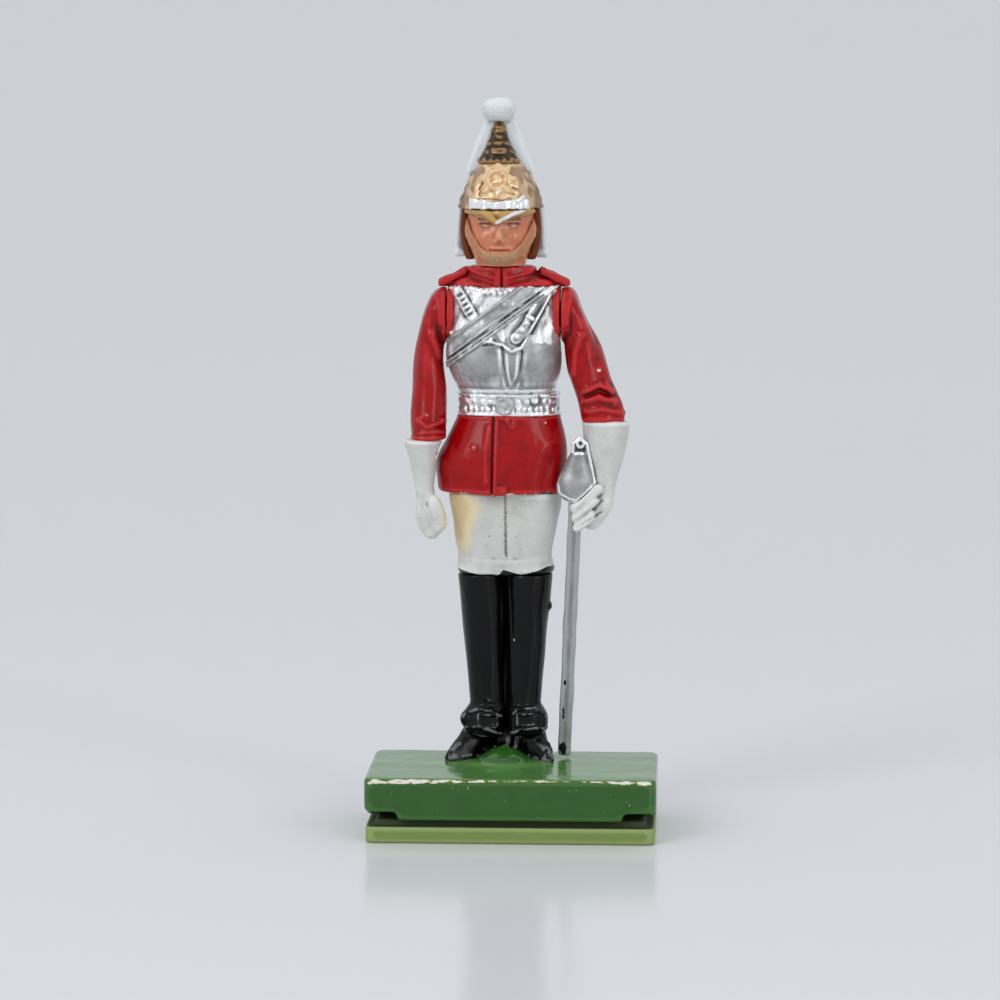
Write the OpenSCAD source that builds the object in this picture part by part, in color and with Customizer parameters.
// Toy soldier on a base: a cavalry trooper with plumed helmet, cuirass, gauntlets and sword.
// Millimetres, +Z up, origin at the middle of the base's underside. The figure faces -Y.

/* [Base] */
// Width of the base casting
base_w = 30; // [26:0.5:40]
// Depth of the base casting
base_d = 17; // [16:0.5:26]
// Height of the base casting
base_h = 4.4; // [3.6:0.1:7]
// Radius of the casting's upright corners
base_corner = 1; // [0.4:0.1:1.6]
// Side wall of the casting
base_wall = 1.8; // [1.4:0.1:2.4]
// Roof of the casting
base_roof = 1.6; // [1.2:0.1:2.2]
// Length of the cut at each lower corner
notch_l = 3.4; // [2:0.1:5]
// Height of that cut
notch_h = 0.85; // [0.3:0.05:1.4]
// Width of the mound between the feet
mound_w = 5.4; // [3:0.1:5.6]
// Height of the mound
mound_h = 1.7; // [0.8:0.1:2.4]
// Thickness of the under plate
plate_t = 1.75; // [1:0.05:3]
// Inset of the under plate from the casting's sides
plate_inset = 0.15; // [0:0.05:0.4]
// Open gap between plate and casting at the rim
plate_gap = 0.6; // [0.2:0.05:1]
// Radius of the posts that hold the plate
post_r = 1.2; // [0.8:0.1:1.6]
// Distance between the posts
post_span = 20; // [16:0.5:22]

/* [Stance] */
// Sideways place of the legs' middle line
stance_x = -1.05; // [-1.3:0.05:-0.8]
// Place of the legs behind the base's middle
stance_y = 4.7; // [4.3:0.1:4.8]
// Sideways place of the chest
chest_x = -1.15; // [-1.6:0.05:-0.8]
// Place of the chest behind the base's middle
chest_y = 4.3; // [4:0.1:4.6]
// Sideways place of the head
head_x = -1.45; // [-1.7:0.05:-1.2]
// Place of the head behind the base's middle
head_y = 3.4; // [3.2:0.05:3.6]

/* [Boots] */
// Height of a boot from sole to top
boot_h = 19.6; // [16:0.1:22]
// Width of a boot at its top
boot_top_w = 5; // [4.4:0.1:5.2]
// Depth of a boot at its top
boot_top_d = 5.2; // [4.6:0.1:5.8]
// Width of a boot at its ankle
ankle_w = 3.65; // [3:0.05:4]
// Depth of a boot at its ankle
ankle_d = 3.9; // [3.4:0.1:4.4]
// Height of the ankle over the sole
ankle_h = 5.6; // [5:0.1:6.4]
// Gap between the two boots
boot_gap = 0.05; // [0.05:0.05:0.3]
// Length of a foot
foot_l = 7.6; // [6.6:0.1:7.8]
// Radius of the heel
heel_r = 1.25; // [1:0.05:1.5]
// Radius of the ball of the foot
ball_r = 1.35; // [1.1:0.05:1.6]
// Radius of the toe
toe_r = 0.8; // [0.6:0.05:0.9]
// Height of the toe
toe_h = 0.95; // [0.7:0.05:1.3]
// Width of the spur flap over the instep
flap_w = 4.4; // [3.9:0.1:4.6]
// Outward turn of the right foot
right_splay = 42; // [30:1:45]
// Outward turn of the left foot
left_splay = 29; // [20:1:30]
// Radius of the peg under each sole
foot_peg_r = 0.9; // [0.7:0.05:1.1]
// Length of that peg
foot_peg_l = 2.2; // [1.4:0.1:2.6]

/* [Breeches] */
// Height of the breeches that shows
breeches_h = 8.65; // [7.5:0.1:9.5]
// Width of a leg at its turned cuff
cuff_w = 5.75; // [5.5:0.05:5.9]
// Width of a leg above the cuff
knee_w = 5.4; // [5.1:0.05:5.6]
// Depth of a leg above the cuff
knee_d = 5.3; // [4.9:0.1:5.7]
// Width of a thigh at the hem of the tunic
thigh_w = 6.5; // [6.1:0.05:6.7]
// Depth of a thigh at the hem of the tunic
thigh_d = 7.4; // [6.8:0.1:7.8]
// Radius of the peg into each boot
leg_peg_r = 1.1; // [0.8:0.1:1.4]
// Length of that peg
leg_peg_l = 2.5; // [1.5:0.1:3.5]
// Radius of the plugs into the tunic skirt
plug_r = 2.4; // [1.8:0.1:2.8]
// Length of those plugs
plug_l = 2.4; // [1.5:0.1:3]

/* [Tunic] */
// Height of the tunic skirt
skirt_h = 8.05; // [7.2:0.1:9]
// Width of the skirt where it is widest
skirt_w = 13.8; // [12.8:0.1:13.9]
// Depth of the skirt where it is widest
skirt_d = 9; // [8.4:0.1:9.4]
// Sideways place of the skirt's widest part
skirt_x = -1.45; // [-1.5:0.05:-1.2]
// Width of the waist
waist_w = 10.5; // [9.8:0.1:11]
// Depth of the waist
waist_d = 7.3; // [6.8:0.1:7.8]
// Sideways place of the waist
waist_x = -0.65; // [-0.9:0.05:-0.4]
// Width of the collar
collar_w = 7.1; // [6.6:0.1:7.4]
// Depth of the collar
collar_d = 6; // [5.6:0.1:6.4]
// Height of the collar over the shoulders' top edge
collar_h = 2.1; // [1.6:0.05:2.4]
// Rise of the collar's rim from front to back, for each millimetre of depth
collar_tilt = 0.06; // [0:0.01:0.12]
// Width of the shoulder straps
strap_w = 2; // [1.4:0.1:2.6]
// Thickness of the shoulder straps
strap_t = 0.55; // [0.3:0.05:0.7]

/* [Cuirass and belts] */
// Height of the cuirass
cuirass_h = 11.05; // [10:0.05:12]
// Width of the cuirass where it is widest
chest_w = 12.2; // [11.8:0.1:12.4]
// Width of the cuirass at the arm holes
armhole_w = 11.6; // [11.2:0.1:11.8]
// Width of the cuirass at its foot
cuirass_foot_w = 9.9; // [9.4:0.1:10.4]
// Depth of the chest in front of its middle
chest_front = 4.4; // [4.1:0.1:4.6]
// Depth of the chest behind its middle
chest_back = 3.4; // [3.1:0.1:3.6]
// Thickness of the two plates
shell_t = 0.55; // [0.4:0.05:0.8]
// Height of the waist belt
belt_h = 2.3; // [1.8:0.1:2.8]
// Diameter of the belt's clasp
clasp_d = 1.9; // [1.2:0.1:2.2]
// Thickness of the clasp over the belt
clasp_t = 0.35; // [0.2:0.05:0.6]
// Width of the cross belt
cross_w = 2.5; // [1.6:0.1:3]
// Thickness of the cross belt
cross_t = 0.3; // [0.2:0.05:0.4]
// Slope of the cross belt against the level
cross_angle = 36; // [34:1:42]
// Width of the pouch
pouch_w = 3.6; // [2.8:0.1:4.2]
// Height of the pouch
pouch_h = 2.2; // [1.6:0.1:2.6]
// Thickness of the pouch
pouch_t = 0.8; // [0.6:0.1:1]

/* [Arms] */
// Depth of the shoulder pegs' axis under the cuirass's top
shoulder_drop = 3; // [2.7:0.05:3.3]
// Radius of the shoulder pegs
arm_peg_r = 1.2; // [1:0.05:1.4]
// Length of a shoulder peg inside the torso
arm_peg_l = 2.2; // [1.6:0.1:2.6]
// Gap between a sleeve and the cuirass
arm_gap = 0.15; // [0.1:0.05:0.5]
// Length of the right sleeve under the shoulder axis
right_sleeve_l = 12.9; // [12:0.1:13.5]
// Length of the left sleeve under the shoulder axis
left_sleeve_l = 10.9; // [10:0.1:11.5]
// Thickness of the right sleeve at its forearm
right_sleeve_w = 3.75; // [3.3:0.05:4]
// Thickness of the left sleeve at its forearm
left_sleeve_w = 4.4; // [4:0.05:4.6]
// Depth of a sleeve at its forearm
sleeve_d = 4.5; // [4:0.1:5]
// How far the left forearm stands out from the shoulder
left_reach = 2.3; // [2:0.1:2.6]
// Width of the right gauntlet's cuff
right_cuff_w = 3.9; // [3.5:0.1:4.2]
// Width of the left gauntlet's cuff
left_cuff_w = 4.95; // [4.5:0.1:5.2]
// Width of the right wrist
right_wrist_w = 1.95; // [1.7:0.05:2.2]
// Width of the left wrist
left_wrist_w = 2.5; // [2.2:0.1:2.8]
// Length of the right gauntlet's cuff
right_cuff_l = 6.2; // [5.6:0.1:6.6]
// Length of the left gauntlet's cuff
left_cuff_l = 6.2; // [5.8:0.1:6.5]
// Thickness of a finger
finger_d = 1.05; // [0.8:0.05:1.2]

/* [Head] */
// Radius of the neck peg
neck_r = 1.7; // [1.4:0.1:1.9]
// Length of the neck peg inside the collar
neck_l = 2; // [1.4:0.1:2]
// Gap between the chin and the collar's rim
chin_gap = 0.15; // [0.1:0.05:0.3]
// Height from the chin to the helmet's rim
face_h = 5.85; // [5.2:0.05:6]
// Width of the face
face_w = 6.8; // [6.2:0.1:7]
// Depth of the face in front of the neck's axis
face_front = 3.8; // [3.5:0.1:4]
// Depth of the head behind the neck's axis
head_back = 3.4; // [3:0.1:3.6]
// Width of the chin chain
chain_w = 1.25; // [0.8:0.05:1.5]
// Thickness of the chin chain
chain_t = 0.25; // [0.15:0.05:0.35]

/* [Helmet] */
// Height of the helmet's dome
dome_h = 4.55; // [4.2:0.05:5.3]
// Width of the helmet at its rim
helmet_w = 8.5; // [8:0.1:8.8]
// Depth of the helmet in front of the neck's axis
helmet_front = 4.6; // [4.3:0.1:4.9]
// Depth of the helmet behind the neck's axis
helmet_back = 4.2; // [4:0.1:4.4]
// Width of the dome's flat top
dome_top_w = 4.5; // [4:0.1:5]
// Drop of the peak's point under the rim
peak_drop = 1.3; // [0.8:0.1:1.8]
// Thickness of the peak
peak_t = 0.45; // [0.3:0.05:0.6]
// Height of the metal trim over the peak
trim_h = 0.95; // [0.6:0.05:1.2]
// Thickness of the trim
trim_t = 0.25; // [0.15:0.05:0.35]
// Width of the helmet plate
badge_w = 4.7; // [4:0.1:5.2]
// Width of the star on the plate
star_w = 4; // [3:0.1:4.4]
// Thickness of the plate
badge_t = 0.2; // [0.15:0.05:0.3]
// Thickness of the star over the plate
star_t = 0.25; // [0.15:0.05:0.4]
// Height of the plume's spike
spike_h = 4.3; // [3.6:0.1:4.6]
// Radius of the spike's foot
spike_r = 2.15; // [1.8:0.05:2.3]
// Width of the plume at its foot
plume_w = 9.9; // [9.4:0.1:10.2]
// Depth of the plume behind the neck's axis
plume_back = 5; // [4.9:0.05:5.1]
// Thickness of the plume's hanging hair
plume_t = 0.5; // [0.4:0.05:0.6]
// Radius of the tuft over the spike
tuft_r = 1.78; // [1.5:0.02:2]
// Height of the tuft
tuft_h = 2.4; // [2.2:0.1:3]

/* [Sword] */
// Width of the scabbard
scabbard_w = 1.4; // [1:0.05:1.5]
// Thickness of the scabbard
scabbard_t = 0.9; // [0.7:0.05:1.1]
// Sideways place of the scabbard's tip
tip_x = 5.15; // [5.1:0.05:5.6]
// Place of the scabbard's tip behind the base's middle
tip_y = 4.6; // [4.2:0.1:5]
// Sideways place of the guard
guard_x = 6.4; // [6.2:0.05:6.7]
// Place of the guard behind the base's middle
guard_y = 1.1; // [0.8:0.05:1.2]
// Width of the guard
guard_w = 4.1; // [3.6:0.1:4.2]
// Depth of the guard
guard_d = 2.3; // [1.8:0.1:2.5]
// Height of the guard
guard_h = 5.3; // [4.6:0.1:5.6]
// Height of the guard's lowest point over the breeches' top, negative when lower
guard_rise = -0.85; // [-1.2:0.05:-0.6]
// Radius of the pommel
pommel_r = 0.62; // [0.45:0.02:0.8]

/* [Fits] */
// Clearance around a peg that turns, on the radius
turn_fit = 0.04; // [0.02:0.01:0.08]
// Clearance around a piece that is pushed or glued in place
seat_fit = 0.03; // [0.02:0.01:0.06]
// Gap between pieces that move past each other
move_gap = 0.2; // [0.15:0.01:0.3]

/* [Hidden] */
$fn = 48;

// Levels, from the ground up
casting_z = plate_t + plate_gap;
base_top = casting_z + base_h;
boot_top = base_top + boot_h;
hem_z = boot_top + breeches_h;
waist_z = hem_z + skirt_h;
cuirass_z = waist_z + belt_h + seat_fit;
cuirass_top = cuirass_z + cuirass_h;
axis_z = cuirass_top - shoulder_drop;
collar_top = cuirass_top + collar_h;
chin_z = collar_top + chin_gap;
rim_z = chin_z + face_h;
dome_top = rim_z + dome_h;
right_cuff_z = axis_z - right_sleeve_l;
left_cuff_z = axis_z - left_sleeve_l;

// Sides of a round, of a C-shaped wall and of a thin limb
round_n = 40;
wall_n = 18;
limb_n = 20;

// Smooth rows: cubic curves through a few key rows, each [z, x, y, width, front, back]
function slope(k, i) =
    let (a = max(i - 1, 0), b = min(i + 1, len(k) - 1))
    (k[b] - k[a]) / (k[b][0] - k[a][0]);
function between(k, i, t) =
    let (h = k[i + 1][0] - k[i][0], s = t * t * (3 - 2 * t))
    k[i] * (1 - s) + k[i + 1] * s
    + slope(k, i) * h * t * (1 - t) * (1 - t) - slope(k, i + 1) * h * t * t * (1 - t);
function smooth(k, n = 2) =
    [for (i = [0 : len(k) - 2], j = [0 : n - 1]) between(k, i, j / n), k[len(k) - 1]];
function grow(rows, d) = [for (r = rows) r + [0, 0, 0, 2 * d, d, d]];
function flip_sign(v, p) = sign(v) * pow(abs(v), p);

// One point of a row's outline, rounder or squarer by its power, tilted from front to back
function edge(r, a, power, tilt) =
    let (dy = (sin(a) < 0 ? r[4] : r[5]) * flip_sign(sin(a), 2 / power))
    [r[1] + r[3] / 2 * flip_sign(cos(a), 2 / power), r[2] + dy, r[0] + tilt * dy];
function ring(r, n = round_n, power = 2, tilt = 0) =
    [for (i = [0 : n - 1]) edge(r, 360 * i / n, power, tilt)];
function wall_ring(outer, inner, from, to, power) =
    let (step = (to - from) / wall_n)
    concat(
        [for (i = [0 : wall_n]) edge(outer, from + i * step, power, 0)],
        [for (i = [wall_n : -1 : 0]) edge(inner, from + i * step, power, 0)]
    );

// A closed skin over a stack of rings with the same even number of points, its ends closed by strips
module skin(rings) {
    n = len(rings[0]);
    top = (len(rings) - 1) * n;
    sides = [
        for (k = [0 : len(rings) - 2], i = [0 : n - 1])
            let (a = k * n + i, b = k * n + (i + 1) % n)
            each [[a, a + n, b], [b, a + n, b + n]]
    ];
    foot = [
        for (i = [0 : n / 2 - 2])
            each [[i, i + 1, n - 2 - i], [i, n - 2 - i, n - 1 - i]]
    ];
    lid = [for (f = foot) [top + f[2], top + f[1], top + f[0]]];
    polyhedron([for (r = rings) each r], concat(foot, sides, lid), convexity = 8);
}

module stack(rows, n = round_n, power = 2) {
    skin([for (r = rows) ring(r, n, power)]);
}

// A wall between two stacks of rows, from one angle to another
module shell_wall(outer, inner, from, to, power = 2) {
    skin([for (i = [0 : len(outer) - 1]) wall_ring(outer[i], inner[i], from, to, power)]);
}

module plate_outline(inset) {
    r = base_corner;
    for (sx = [-1, 1], sy = [-1, 1])
        translate([sx * (base_w / 2 - r), sy * (base_d / 2 - r)])
            circle(r - min(inset, r / 2));
    square([base_w - 2 * r, base_d - 2 * inset], center = true);
    square([base_w - 2 * inset, base_d - 2 * r], center = true);
}

// Base: a hollow casting on a plate, whose raised seat leaves a dark gap at the rim
seat_inset = base_wall - 0.6;
module under_plate() {
    color("yellowgreen") {
        linear_extrude(plate_t) plate_outline(plate_inset);
        translate([0, 0, plate_t])
            linear_extrude(plate_gap)
                square([base_w - 2 * seat_inset, base_d - 2 * seat_inset], center = true);
        for (s = [-1, 1])
            translate([s * post_span / 2, 0, plate_t])
                cylinder(r = post_r, h = plate_gap + post_hold);
    }
}
post_hold = base_h - base_roof - 0.2;
boss_wall = 0.9;
module base_casting() {
    color("forestgreen") {
        difference() {
            translate([0, 0, casting_z]) linear_extrude(base_h) plate_outline(0);
            translate([0, 0, casting_z - 1])
                linear_extrude(base_h - base_roof + 1)
                    square([base_w - 2 * base_wall, base_d - 2 * base_wall], center = true);
            for (sx = [-1, 1], sy = [-1, 1])
                translate([sx * base_w / 2, sy * base_d / 2, casting_z])
                    cube([2 * notch_l, 2 * notch_l, 2 * notch_h], center = true);
            for (s = [-1, 1])
                translate([foot_x(s), foot_y, casting_z])
                    cylinder(r = foot_peg_r + seat_fit, h = base_h + 1);
        }
        for (s = [-1, 1])
            translate([s * post_span / 2, 0, casting_z])
                difference() {
                    cylinder(r = post_r + boss_wall, h = base_h - base_roof);
                    translate([0, 0, -1]) cylinder(r = post_r + seat_fit, h = post_hold + 1.1);
                }
        mound();
    }
}
mound_y = 1.3;
module mound() {
    r = (mound_w * mound_w / 4 + mound_h * mound_h) / (2 * mound_h);
    intersection() {
        translate([stance_x, mound_y, base_top + mound_h - r]) sphere(r);
        translate([stance_x - mound_w, mound_y - mound_w, base_top - 0.2])
            cube([2 * mound_w, 2 * mound_w, 2 * mound_h]);
    }
    translate([stance_x, mound_y, base_top]) cylinder(r = 0.4, h = mound_h + 0.15);
}

// Boots: a smooth shaft, a foot turned outward, a spur flap and a peg
foot_y = stance_y + 0.3;
heel_y = stance_y + 2;
foot_h = 2.4;
function foot_x(side) = stance_x + side * (boot_gap + ankle_w) / 2;
function boot_row(side, z, w, d, shift = 0) =
    [base_top + z, stance_x + side * (boot_gap + w) / 2, stance_y + shift, w, d / 2, d / 2];
function boot_rows(side) = smooth([
    boot_row(side, foot_h, ankle_w - 0.2, ankle_d, 0.3),
    boot_row(side, ankle_h, ankle_w, ankle_d, 0.2),
    boot_row(side, (ankle_h + boot_h) / 2, (ankle_w + boot_top_w) / 2, boot_top_d - 0.1, 0.15),
    boot_row(side, boot_h, boot_top_w, boot_top_d)
], 3);
function flap_rows(side) = smooth([
    boot_row(side, foot_h, flap_w - 0.7, ankle_d + 0.1),
    boot_row(side, foot_h + 0.5, flap_w - 0.1, ankle_d + 0.7),
    boot_row(side, ankle_h - 1.1, flap_w, ankle_d + 0.7),
    boot_row(side, ankle_h, ankle_w + 0.1, ankle_d + 0.1)
]);
module foot(side, splay) {
    reach = foot_l - heel_r - toe_r;
    translate([foot_x(side), heel_y, base_top])
        rotate([0, 0, side * splay])
            hull($fn = 24) {
                cylinder(r = heel_r, h = foot_h);
                translate([0, -1.9, 0]) cylinder(r = ball_r, h = foot_h + 0.5);
                translate([0, -0.72 * reach, 0]) cylinder(r1 = ball_r, r2 = ball_r / 2, h = 1.8);
                translate([0, -reach, 0]) cylinder(r1 = toe_r, r2 = toe_r / 2, h = toe_h);
            }
}
module boot(side, splay) {
    color("black") {
        difference() {
            stack(boot_rows(side), 24);
            translate([leg_peg_x(side), stance_y, boot_top - leg_peg_l - 0.1])
                cylinder(r = leg_peg_r + seat_fit, h = leg_peg_l + 1);
        }
        stack(flap_rows(side), 24, 2.6);
        foot(side, splay);
        translate([foot_x(side), foot_y, base_top - foot_peg_l])
            cylinder(r = foot_peg_r, h = foot_peg_l + 1);
    }
}
module right_boot() {
    boot(-1, right_splay);
}
module left_boot() {
    boot(1, left_splay);
}

// Breeches: two legs that meet at a groove, with pegs down and a plug up
leg_lap = 0.6;
function leg_peg_x(side) = stance_x + side * (boot_gap + boot_top_w) / 2;
function leg_row(side, z, w, d) =
    [boot_top + z, stance_x + side * (w / 2 - leg_lap), stance_y, w, d / 2, d / 2];
function leg_rows(side) = smooth([
    leg_row(side, 0, cuff_w - 0.15, knee_d),
    leg_row(side, 0.75, cuff_w, knee_d + 0.25),
    leg_row(side, 1.55, knee_w, knee_d),
    leg_row(side, breeches_h / 2, (knee_w + thigh_w) / 2, (knee_d + thigh_d) / 2),
    leg_row(side, breeches_h, thigh_w, thigh_d)
]);
module breeches() {
    color("white") {
        for (s = [-1, 1]) {
            stack(leg_rows(s), 28, 2.3);
            translate([leg_peg_x(s), stance_y, boot_top - leg_peg_l])
                cylinder(r = leg_peg_r, h = leg_peg_l + 1);
        }
        translate([stance_x, stance_y, hem_z - 1]) cylinder(r = plug_r, h = plug_l + 1);
    }
}

// Tunic skirt, socketed for the plugs of the breeches and the torso
skirt_rows = smooth([
    [hem_z, skirt_x - 0.1, stance_y - 0.5, skirt_w - 0.7, skirt_d / 2, skirt_d / 2 - 0.3],
    [hem_z + 0.4 * skirt_h, skirt_x, stance_y - 0.5, skirt_w, skirt_d / 2, skirt_d / 2 - 0.3],
    [hem_z + 0.67 * skirt_h, (skirt_x + waist_x) / 2 + 0.1, stance_y - 0.5, skirt_w - 1.2,
        skirt_d / 2 - 0.25, skirt_d / 2 - 0.4],
    [waist_z, waist_x, chest_y, waist_w + 0.1, waist_d / 2, waist_d / 2]
], 3);
module tunic_skirt() {
    color("firebrick")
        difference() {
            stack(skirt_rows, round_n, 2.15);
            translate([stance_x, stance_y, hem_z - 1]) cylinder(r = plug_r + seat_fit, h = plug_l + 1.1);
            translate([waist_x, chest_y, waist_z - plug_l - 0.1])
                cylinder(r = plug_r + seat_fit, h = plug_l + 1);
        }
}

// Cuirass rows: the outside of both plates, from the belt to the shoulders
function cuirass_row(t, x, w, front, back) = [cuirass_z + t * cuirass_h, x, chest_y, w, front, back];
rib_w = (cuirass_foot_w + chest_w) / 2 + 0.4;
cuirass_top_front = chest_front - 1.2;
cuirass_rows = smooth([
    cuirass_row(0, waist_x - 0.2, cuirass_foot_w, waist_d / 2 - 0.35, waist_d / 2 - 0.4),
    cuirass_row(0.16, waist_x - 0.3, rib_w, chest_front - 0.35, chest_back - 0.1),
    cuirass_row(0.34, chest_x, chest_w, chest_front, chest_back),
    cuirass_row(0.62, chest_x, armhole_w, chest_front - 0.2, chest_back),
    cuirass_row(0.86, chest_x, armhole_w, chest_front - 0.75, chest_back - 0.4),
    cuirass_row(1, chest_x, armhole_w - 0.3, cuirass_top_front, chest_back - 0.9)
], 3);
core_rows = grow(cuirass_rows, -shell_t - 2 * seat_fit);
core_foot = core_rows[0];
chest_power = 2.6;
arm_hole_r = arm_peg_r + 0.15;
plate_gap_angle = 9;
// Angle at which a plate starts: past the arm hole beside the peg, at the side seam elsewhere
function plate_from(row, depth) =
    let (half = sqrt(max(0, arm_hole_r * arm_hole_r - pow(row[0] - axis_z, 2))))
    max(plate_gap_angle, asin(pow(half / depth, chest_power / 2)));
module cuirass_plate(side, depth_i) {
    inner_rows = grow(cuirass_rows, -shell_t);
    color("silver")
        skin([
            for (i = [0 : len(cuirass_rows) - 1])
                let (a = plate_from(inner_rows[i], inner_rows[i][depth_i]))
                wall_ring(cuirass_rows[i], inner_rows[i], side + a, side + 180 - a, chest_power)
        ]);
}
module breastplate() {
    cuirass_plate(180, 4);
}
module backplate() {
    cuirass_plate(0, 5);
}

// Torso: the red body under the cuirass, with sloping shoulders, collar and three sockets
shoulder_top_w = armhole_w - 0.5;
neck_floor = collar_top - neck_l - 0.1;
function shoulder_row(z, in, slim) = [
    cuirass_top + z, chest_x, chest_y, shoulder_top_w - in,
    cuirass_top_front - slim, chest_back - 0.9 - slim
];
torso_rows = concat(
    [core_foot - [cuirass_z - waist_z, 0, 0, 0, 0, 0]],
    core_rows,
    smooth([
        shoulder_row(0.05, 0, 0.1),
        shoulder_row(0.45, 0.8, 0.4),
        shoulder_row(0.8, 2.2, 0.6),
        shoulder_row(1.1, shoulder_top_w - collar_w, 0.8)
    ])
);
collar_y = (chest_y + head_y) / 2;
collar_rim = collar_top - collar_tilt * collar_d / 2;
function collar_row(z, w, d) = [z, (chest_x + head_x) / 2, collar_y, w, d / 2, d / 2];
module collar() {
    intersection() {
        skin([
            for (r = [
                collar_row(cuirass_top - 0.4, collar_w - 0.2, collar_d - 0.8),
                collar_row(cuirass_top + 0.9, collar_w + 0.1, collar_d),
                collar_row(collar_rim, collar_w - 0.1, collar_d - 0.1)
            ])
                ring(r, round_n, 2, collar_tilt)
        ]);
        translate([-chest_w, -chest_w, cuirass_top + seat_fit])
            cube([2 * chest_w, 3 * chest_w, 2 * collar_h]);
    }
}
module torso() {
    color("crimson") {
        difference() {
            union() {
                stack(torso_rows, round_n, chest_power);
                collar();
            }
            translate([head_x, head_y, neck_floor]) cylinder(r = neck_r + turn_fit, h = neck_l + 4);
            for (s = [-1, 1])
                translate([s < 0 ? chest_x - chest_w : socket_x(s), chest_y, axis_z])
                    rotate([0, 90, 0])
                        cylinder(r = arm_peg_r + turn_fit, h = chest_w + s * (chest_x - socket_x(s)));
        }
        translate([waist_x, chest_y, waist_z - plug_l]) cylinder(r = plug_r, h = plug_l + 0.5);
    }
}
peg_end = armhole_w / 2 - shell_t - arm_peg_l;
function socket_x(side) = chest_x + side * (peg_end - 0.1);

// Tunic straps: curved strips from the collar over the shoulder
strap_rise = 0.15;
module shoulder_strap(side) {
    near = collar_w / 2 + 0.3;
    mid = armhole_w / 2 - 0.6;
    far = armhole_w / 2 + 0.9;
    low = [
        [near, cuirass_top + 1.1 + strap_rise],
        [mid, cuirass_top + 0.5 + strap_rise],
        [far, cuirass_top - 0.2 + strap_rise]
    ];
    color("red")
        translate([chest_x, chest_y - 0.2, 0])
            rotate([90, 0, 0])
                linear_extrude(strap_w, center = true)
                    polygon([
                        for (p = low) [side * p[0], p[1]],
                        for (i = [2 : -1 : 0]) [side * low[i][0], low[i][1] + strap_t]
                    ]);
}
module right_shoulder_strap() {
    shoulder_strap(-1);
}
module left_shoulder_strap() {
    shoulder_strap(1);
}

// Waist belt with a round clasp
belt_row = [waist_z, waist_x, chest_y, waist_w, waist_d / 2, waist_d / 2];
module row_outline(row) {
    polygon([for (p = ring(row, round_n, chest_power)) [p[0], p[1]]]);
}
module waist_belt() {
    color("gainsboro")
        translate([0, 0, waist_z])
            linear_extrude(belt_h)
                difference() {
                    row_outline(belt_row);
                    row_outline(grow([core_foot], seat_fit)[0]);
                }
}
module belt_clasp() {
    color("silver")
        translate([waist_x - 0.3, chest_y - waist_d / 2 - seat_fit / 2, waist_z + belt_h / 2])
            rotate([90, 0, 0])
                difference() {
                    cylinder(r = clasp_d / 2, h = clasp_t);
                    translate([0, 0, clasp_t / 2]) cylinder(r = clasp_d / 4, h = clasp_t);
                }
}

// Cross belt: a sloping band around the cuirass, in a front and a back length, and its pouch
cross_z = 0.76;
cross_in = 0.3;
module cross_slab(w) {
    translate([chest_x, chest_y, cuirass_z + cross_z * cuirass_h])
        rotate([0, -cross_angle, 0])
            cube([4 * chest_w, 4 * chest_w, w], center = true);
}
module cross_belt() {
    outer = grow(cuirass_rows, cross_t);
    inner = grow(cuirass_rows, seat_fit);
    color("lightgray")
        intersection() {
            union() {
                shell_wall(outer, inner, 180 + plate_gap_angle, 360 - plate_gap_angle, chest_power);
                shell_wall(outer, inner, plate_gap_angle, 180 - plate_gap_angle, chest_power);
            }
            cross_slab(cross_w);
            cube([2 * (chest_w / 2 - cross_in - chest_x), 4 * chest_w, 3 * cuirass_top], center = true);
        }
}
pouch_t_in = 1.2;
module pouch() {
    color("black")
        difference() {
            translate([chest_x - 1.5, chest_y + chest_back - pouch_t_in, cuirass_z + 0.38 * cuirass_h])
                rotate([0, -cross_angle / 3, 0])
                    translate([-pouch_w / 2, 0, -pouch_h / 2])
                        cube([pouch_w, pouch_t + pouch_t_in, pouch_h]);
            stack(grow(cuirass_rows, cross_t + seat_fit), round_n, chest_power);
        }
}

// Arms: sleeves that hang from a shoulder peg, and gauntlets
function arm_x(side) = chest_x + side * (armhole_w / 2 + arm_gap);
function sleeve_row(side, z, in, w, y, d) =
    [axis_z + z, arm_x(side) + side * (in + w / 2), chest_y + y, w, d / 2, d / 2];
bulge = (chest_w - armhole_w) / 2;
right_rows = smooth([
    sleeve_row(-1, -right_sleeve_l, 0.05, right_sleeve_w - 0.25, -2, sleeve_d - 0.2),
    sleeve_row(-1, -0.78 * right_sleeve_l, -0.05, right_sleeve_w, -1.4, sleeve_d),
    sleeve_row(-1, -0.57 * right_sleeve_l, 0, right_sleeve_w - 0.2, -0.9, sleeve_d),
    sleeve_row(-1, -0.34 * right_sleeve_l, bulge + 0.1, right_sleeve_w - 0.85, -0.4, 1.07 * sleeve_d),
    sleeve_row(-1, -0.11 * right_sleeve_l, 0.05, right_sleeve_w - 0.9, -0.1, 1.15 * sleeve_d),
    sleeve_row(-1, 0.23 * shoulder_drop, 0, 0.6 * right_sleeve_w, 0, 1.1 * sleeve_d),
    sleeve_row(-1, 0.67 * shoulder_drop, 0, 0.36 * right_sleeve_w, 0, 0.82 * sleeve_d),
    sleeve_row(-1, 0.87 * shoulder_drop, 0.1, 0.16 * right_sleeve_w, 0, 0.4 * sleeve_d)
]);
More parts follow.
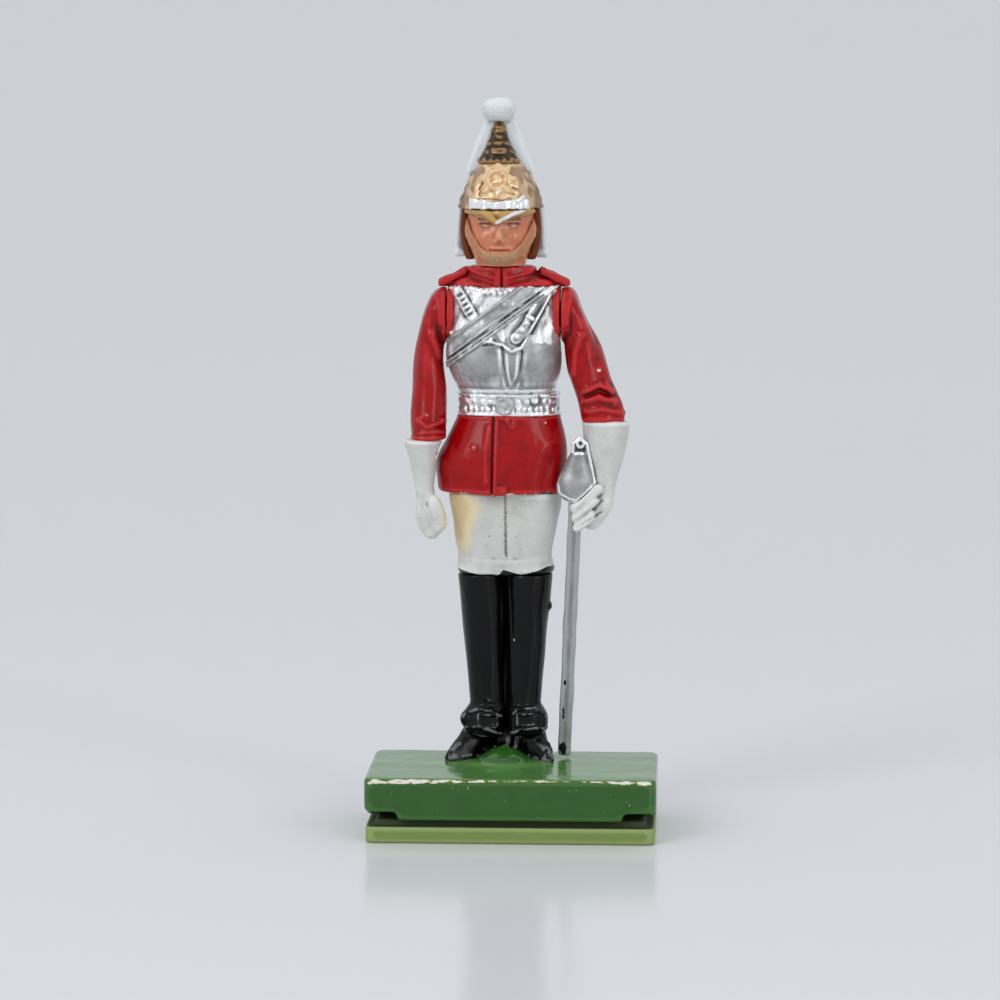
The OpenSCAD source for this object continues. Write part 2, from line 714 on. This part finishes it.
left_rows = smooth([
    sleeve_row(1, -left_sleeve_l, left_reach, left_sleeve_w - 0.1, -1.8, sleeve_d + 0.1),
    sleeve_row(1, -0.84 * left_sleeve_l, 0.8 * left_reach, left_sleeve_w + 0.15, -1.5, sleeve_d + 0.2),
    sleeve_row(1, -0.68 * left_sleeve_l, 0.5 * left_reach, left_sleeve_w, -1.1, sleeve_d + 0.2),
    sleeve_row(1, -0.5 * left_sleeve_l, bulge + 0.25, left_sleeve_w, -0.7, 1.09 * sleeve_d),
    sleeve_row(1, -0.31 * left_sleeve_l, bulge, left_sleeve_w - 0.5, -0.3, 1.1 * sleeve_d),
    sleeve_row(1, -0.13 * left_sleeve_l, 0.05, left_sleeve_w - 1.2, -0.1, 1.15 * sleeve_d),
    sleeve_row(1, 0.23 * shoulder_drop, 0, 0.5 * left_sleeve_w, 0, 1.1 * sleeve_d),
    sleeve_row(1, 0.67 * shoulder_drop, 0, 0.3 * left_sleeve_w, 0, 0.82 * sleeve_d),
    sleeve_row(1, 0.87 * shoulder_drop, 0.1, 0.12 * left_sleeve_w, 0, 0.4 * sleeve_d)
]);
cuff_peg_r = 1;
cuff_peg_l = 1.8;
module sleeve(side, rows) {
    shoulder = rows[len(rows) - 5];
    cuff = rows[0];
    color("firebrick") {
        stack(rows, 24);
        translate([side < 0 ? shoulder[1] : chest_x + peg_end, chest_y, axis_z])
            rotate([0, 90, 0])
                cylinder(r = arm_peg_r, h = abs(shoulder[1] - chest_x) - peg_end);
        translate([cuff[1], cuff[2], cuff[0] - cuff_peg_l]) cylinder(r = cuff_peg_r, h = cuff_peg_l + 0.5);
    }
}
module right_sleeve() {
    sleeve(-1, right_rows);
}
module left_sleeve() {
    sleeve(1, left_rows);
}

module cuff_socket(rows) {
    cuff = rows[0];
    translate([cuff[1], cuff[2], cuff[0] - cuff_peg_l - 0.1])
        cylinder(r = cuff_peg_r + seat_fit, h = cuff_peg_l + 1);
}
// A rounded finger between two points
module finger(a, b, d = finger_d) {
    hull($fn = 14) {
        translate(a) sphere(d = d);
        translate(b) sphere(d = d);
    }
}
right_hand = right_rows[0] + [-right_cuff_l, 0, 0, 0, 0, 0];
hand_x = right_hand[1] - 0.25;
hand_y = right_hand[2] - 0.55;
hand_z = right_hand[0];
module right_gauntlet() {
    cx = hand_x - 0.35;
    color("white")
        difference() {
            union() {
                stack(smooth([
                    [hand_z - 0.2, hand_x, hand_y, right_wrist_w, 1.1, 1.1],
                    [hand_z + 1.6, hand_x - 0.2, hand_y + 0.1, right_wrist_w + 0.1, 1.15, 1.15],
                    [hand_z + 3.8, cx, hand_y + 0.2, (right_wrist_w + right_cuff_w) / 2 - 0.1, 1.7, 1.7],
                    [right_cuff_z - 0.3, cx - 0.05, hand_y + 0.3, right_cuff_w, 2.3, 2.3],
                    [right_cuff_z, cx - 0.05, hand_y + 0.3, right_cuff_w, 2.3, 2.3]
                ]), 24);
                hull($fn = 18) {
                    translate([hand_x - 0.1, hand_y, hand_z]) sphere(1.05);
                    translate([hand_x + 0.1, hand_y, hand_z - 2.4]) sphere(1.1);
                    translate([hand_x + 0.4, hand_y - 0.2, hand_z - 3.2]) sphere(0.9);
                    translate([hand_x + 0.7, hand_y + 0.3, hand_z - 1.8]) sphere(0.95);
                }
                finger([hand_x + 0.6, hand_y - 0.8, hand_z], [hand_x + 1.4, hand_y - 0.9, hand_z - 2.6], 1);
            }
            cuff_socket(right_rows);
        }
}

left_hand = left_rows[0];
module left_gauntlet() {
    wx = left_hand[1] + 0.25;
    wy = left_hand[2] - 0.4;
    wz = left_cuff_z - left_cuff_l;
    rest_x = axis_at(wz - 3)[0];
    rest_y = axis_at(wz - 3)[1] - (scabbard_t + finger_d) / 2;
    color("white")
        difference() {
            union() {
                stack(smooth([
                    [wz - 0.3, wx - 0.1, wy, left_wrist_w, 1.3, 1.3],
                    [wz + 1.2, wx, wy, left_wrist_w + 0.5, 1.5, 1.5],
                    [wz + 3.4, wx, wy + 0.1, (left_wrist_w + left_cuff_w) / 2 + 0.55, 2.1, 2.1],
                    [left_cuff_z - 0.9, wx, wy + 0.3, left_cuff_w, 2.45, 2.45],
                    [left_cuff_z, wx - 0.05, wy + 0.4, left_cuff_w, 2.5, 2.5]
                ]), 24);
                hull($fn = 18) {
                    translate([wx - 0.1, wy, wz - 0.1]) sphere(1.2);
                    translate([wx - 0.45, wy - 0.3, wz - 2.2]) sphere(1.2);
                    translate([wx - 1.4, wy - 0.3, wz - 4]) sphere(1.1);
                }
                for (i = [0 : 2])
                    finger(
                        [wx - 0.8 - 0.3 * i, rest_y, wz - 0.7 - 1.4 * i],
                        [rest_x + 0.1 * i, rest_y + 0.1, wz - 2.7 - 1.05 * i]
                    );
                finger([wx - 0.9, wy + 0.8, wz - 1.6], [rest_x + 0.3, wy + 1.1, wz - 3], 1);
            }
            cuff_socket(left_rows);
            scabbard_bar(seat_fit);
            stack(grow(guard_rows, seat_fit), limb_n);
            for (i = [2, 3]) finger(bow_points[i], bow_points[i + 1], 2 * (bow_r + seat_fit));
        }
}

// Sword: the scabbard runs from under the guard to just over the base
guard_z = hem_z + guard_rise;
scabbard_top = [guard_x, guard_y + 0.15, guard_z + 0.5];
scabbard_tip = [tip_x, tip_y, base_top + move_gap];
scabbard_run = scabbard_top - scabbard_tip;
function axis_at(z) = scabbard_tip + scabbard_run * (z - scabbard_tip[2]) / scabbard_run[2];
function guard_row(t, x, w, slim) =
    [guard_z + t * guard_h, guard_x + x, guard_y, w, guard_d / 2 - slim, guard_d / 2 - 0.2 - slim];
guard_rows = smooth([
    guard_row(0, -0.1, 1.5, 0.4),
    guard_row(0.15, -0.1, guard_w - 0.8, 0.15),
    guard_row(0.3, 0, guard_w, 0),
    guard_row(0.45, 0.05, guard_w - 0.3, 0),
    guard_row(0.8, 0.2, 0.6 * guard_w, 0.3),
    guard_row(1, 0.35, 0.4 * guard_w, 0.4)
]);
module scabbard_bar(d) {
    length = norm(scabbard_run);
    back = acos(scabbard_run[2] / length);
    turn = atan2(scabbard_run[1], scabbard_run[0]);
    translate(scabbard_tip)
        rotate([0, back, turn])
            rotate([0, 0, -turn])
                linear_extrude(length)
                    square([scabbard_w + 2 * d, scabbard_t + 2 * d], center = true);
}
module scabbard() {
    color("darkgray")
        difference() {
            scabbard_bar(0);
            translate([tip_x - 3, tip_y - 3, base_top + move_gap - 2]) cube([6, 6, 2]);
        }
}
bow_r = 0.22;
bow_arc = pommel_r + 0.1;
pommel_x = guard_x + 0.45;
pommel_z = guard_z + guard_h + pommel_r;
pommel_rows = [
    for (a = [-50 : 25 : 75])
        let (r = pommel_r * cos(a))
        [pommel_z + pommel_r * sin(a), pommel_x, guard_y, 2 * r, r, r]
];
bow_y = guard_y - 0.3;
bow_points = [
    [pommel_x - bow_arc, bow_y, guard_z + 0.8 * guard_h],
    [pommel_x - bow_arc, bow_y, pommel_z + 0.2],
    [pommel_x, bow_y, pommel_z + 0.2 + bow_arc],
    [pommel_x + bow_arc, bow_y, pommel_z + 0.2],
    [guard_x + guard_w / 2 - 0.1, bow_y, guard_z + 0.4 * guard_h]
];
module sword_hilt() {
    color("lightsteelblue")
        difference() {
            union() {
                stack(concat(guard_rows, pommel_rows), limb_n);
                for (i = [0 : len(bow_points) - 2]) finger(bow_points[i], bow_points[i + 1], 2 * bow_r);
            }
            scabbard_bar(seat_fit);
        }
}

// Head: a plain face on a neck peg that turns in the collar
function head_row(z, w, front, back) = [z, head_x, head_y, w, front, back];
head_rows = smooth([
    head_row(chin_z, face_w - 2.6, face_front - 0.9, head_back - 1.6),
    head_row(chin_z + 0.85, face_w - 1.1, face_front, head_back - 1.1),
    head_row(chin_z + 1.9, face_w - 0.4, face_front + 0.05, head_back - 0.6),
    head_row(chin_z + 3.6, face_w, face_front, head_back - 0.2),
    head_row(rim_z - 0.3, face_w + 0.1, face_front - 0.05, head_back),
    head_row(rim_z + 1.2, face_w - 0.2, face_front - 0.4, head_back),
    head_row(rim_z + 2.4, face_w - 2.2, face_front - 1.4, head_back - 1)
]);
face_power = 2.2;
module head_skin(d) {
    stack(grow(head_rows, d), 28, face_power);
}
nose_z = chin_z + 0.52 * face_h;
module head() {
    color("peru") {
        head_skin(0);
        hull($fn = 14) {
            translate([head_x, head_y - face_front - 0.05, nose_z]) sphere(0.42);
            translate([head_x, head_y - face_front + 0.3, nose_z + 1.3]) sphere(0.3);
            translate([head_x, head_y - face_front + 0.6, nose_z]) sphere(0.7);
        }
        translate([head_x, head_y, collar_top - neck_l]) cylinder(r = neck_r, h = neck_l + 2);
    }
}
// Hair: it fills the room between the head and the plume, and thins toward the nape
chain_span = 73;
chain_clear = 8;
hair_from = chain_span - 90 + chain_clear;
hair_gap = 0.1;
hair_foot = chin_z + 0.55;
hair_levels = concat(
    [hair_foot],
    [for (r = head_rows) if (r[0] > hair_foot + 0.1 && r[0] < rim_z - 0.1) r[0]],
    [rim_z - seat_fit]
);
function hair_slim(z) = lookup(z, [[hair_foot, 0.9], [chin_z + 1.4, 0.5], [chin_z + 3.2, hair_gap]]);
function plume_size(z, i) = lookup(z, [for (r = plume_rows) [r[0], r[i]]]);
function hair_row(z) =
    let (slim = plume_t + hair_slim(z), back = plume_size(z, 5) - slim)
    head_row(z, plume_size(z, 3) - 2 * slim, back, back);
function head_size(z, i) = lookup(z, [for (r = head_rows) [r[0], r[i]]]);
function head_row_at(z, d) =
    head_row(z, head_size(z, 3) + 2 * d, head_size(z, 4) + d, head_size(z, 5) + d);
module hair() {
    color("saddlebrown")
        skin([
            for (z = hair_levels)
                wall_ring(hair_row(z), head_row_at(z, 2 * seat_fit), hair_from, 180 - hair_from, face_power)
        ]);
}
// Chin chain: a strap that follows the jaw from ear to ear under the lip
chain_levels = 3;
function head_point(a, z, d) = edge(head_row_at(z, d), a, face_power, 0);
function chain_ring(a) =
    let (
        turn = pow(abs(cos(a)), 2.8),
        low = chin_z + 0.1 + 0.45 * face_h * turn,
        high = chin_z + chain_w + (face_h - chain_w - 0.5) * turn,
        levels = [for (j = [0 : chain_levels]) low + (high - low) * j / chain_levels]
    )
    concat(
        [for (z = levels) head_point(a, z, 2 * seat_fit + chain_t)],
        [for (j = [chain_levels : -1 : 0]) head_point(a, levels[j], 2 * seat_fit)]
    );
module chin_chain() {
    color("goldenrod")
        skin([for (a = [270 - chain_span : chain_span / 8 : 270 + chain_span]) chain_ring(a)]);
}

// Helmet: a dome that sits on the head, with peak, trim, plate, spike and plume
function dome_row(t, w, front, back) = [rim_z + t * dome_h, head_x, head_y, w, front, back];
dome_rows = smooth([
    dome_row(0, helmet_w, helmet_front, helmet_back),
    dome_row(0.2, helmet_w - 0.25, helmet_front - 0.1, helmet_back - 0.1),
    dome_row(0.5, helmet_w - 1.4, helmet_front - 0.55, helmet_back - 0.5),
    dome_row(0.8, helmet_w - 2.9, helmet_front - 1.4, helmet_back - 1.2),
    dome_row(1, dome_top_w, dome_top_w / 2 + 0.2, dome_top_w / 2 + 0.1)
], 3);
module helmet_shell() {
    color("tan")
        difference() {
            stack(dome_rows, 36);
            head_skin(seat_fit);
        }
}
module helmet_peak() {
    side_x = helmet_w / 2 - 0.8;
    r = peak_t / 2;
    color("darkgoldenrod")
        difference() {
            hull($fn = 16) {
                for (s = [-1, 1])
                    translate([head_x + s * side_x, head_y - 2.4, rim_z - r]) sphere(r);
                for (s = [-1, 1])
                    translate([head_x + s * side_x / 2, head_y - helmet_front, rim_z - r - 0.1]) sphere(r);
                translate([head_x - 0.3, head_y - helmet_front - 0.2, rim_z - peak_drop]) sphere(r);
            }
            head_skin(seat_fit);
            translate([0, 0, rim_z - seat_fit]) cylinder(r = 3 * helmet_w, h = 5);
        }
}
module dome_layer(near, far) {
    difference() {
        stack(grow(dome_rows, far), 36);
        stack(grow(dome_rows, near), 36);
    }
}
module peak_trim() {
    half = helmet_w / 2 - 1.15;
    color("gainsboro")
        intersection() {
            dome_layer(seat_fit, seat_fit + trim_t);
            translate([head_x - half, head_y - 2 * helmet_w, rim_z + 0.05])
                cube([2 * half, 2 * helmet_w, trim_h]);
        }
}
star_z = rim_z + trim_h + 0.15 + star_w / 2;
star_points = 8;
module through_front() {
    translate([head_x - 0.2, head_y, 0])
        rotate([90, 0, 0])
            linear_extrude(2 * helmet_w) children();
}
module helmet_plate() {
    foot = rim_z + trim_h + 0.1;
    tall = dome_top - 0.25 - foot;
    color("burlywood") {
        intersection() {
            dome_layer(seat_fit, seat_fit + badge_t);
            through_front()
                intersection() {
                    translate([-badge_w / 2, foot]) square([badge_w, tall]);
                    translate([0, foot + tall - badge_w / 2]) circle(d = badge_w);
                }
        }
        intersection() {
            dome_layer(seat_fit, seat_fit + badge_t + star_t);
            through_front()
                translate([0, star_z])
                    polygon([
                        for (i = [0 : 2 * star_points - 1])
                            let (a = 180 * i / star_points, r = star_w / 2 * (i % 2 == 0 ? 1 : 0.66))
                            [r * sin(a), r * cos(a)]
                    ]);
        }
    }
}
spike_y = head_y - 0.2;
spike_x = head_x - 0.2;
module plume_spike() {
    r = spike_r;
    h = spike_h;
    color("sienna")
        translate([spike_x, spike_y, dome_top])
            rotate_extrude()
                polygon([
                    [0, 0], [r, 0], [r, 0.06 * h], [0.84 * r, 0.17 * h], [0.8 * r, 0.26 * h],
                    [0.62 * r, 0.4 * h], [0.6 * r, 0.48 * h], [0.45 * r, 0.55 * h], [0.4 * r, 0.78 * h],
                    [0.26 * r, 0.93 * h], [0.1 * r, h], [0, h]
                ]);
}
tuft_z = dome_top + spike_h + 0.1;
function plume_row(z, w, back) = [z, head_x - 0.05, head_y, w, back, back];
plume_rows = smooth([
    plume_row(chin_z + 0.6, plume_w, plume_back),
    plume_row(chin_z + 2.2, plume_w - 0.25, plume_back - 0.05),
    plume_row(rim_z + 0.5, helmet_w + 0.55, helmet_back + 0.55),
    plume_row(rim_z + 0.5 * dome_h, helmet_w - 0.75, helmet_back + 0.15),
    plume_row(dome_top - 0.2, dome_top_w + 2, dome_top_w / 2 + 1.2),
    plume_row(dome_top + 0.5 * spike_h, 2 * tuft_r + 1.1, tuft_r + 0.75),
    plume_row(tuft_z + 0.15, 2 * tuft_r - 0.3, tuft_r + 0.1)
]);
module plume() {
    color("whitesmoke") {
        difference() {
            shell_wall(plume_rows, grow(plume_rows, -plume_t), 9, 171, face_power);
            stack(grow(dome_rows, seat_fit), 36);
        }
        translate([spike_x, spike_y + 0.1, tuft_z])
            rotate_extrude()
                polygon([
                    [0, 0], [0.7 * tuft_r, 0], [0.92 * tuft_r, 0.2 * tuft_h], [tuft_r, 0.42 * tuft_h],
                    [0.95 * tuft_r, 0.66 * tuft_h], [0.68 * tuft_r, 0.88 * tuft_h],
                    [0.3 * tuft_r, tuft_h], [0, tuft_h]
                ]);
    }
}

under_plate();
base_casting();
right_boot();
left_boot();
breeches();
tunic_skirt();
torso();
breastplate();
backplate();
waist_belt();
belt_clasp();
cross_belt();
pouch();
right_shoulder_strap();
left_shoulder_strap();
head();
hair();
chin_chain();
helmet_shell();
helmet_peak();
peak_trim();
helmet_plate();
plume_spike();
plume();
right_sleeve();
right_gauntlet();
left_sleeve();
left_gauntlet();
sword_hilt();
scabbard();
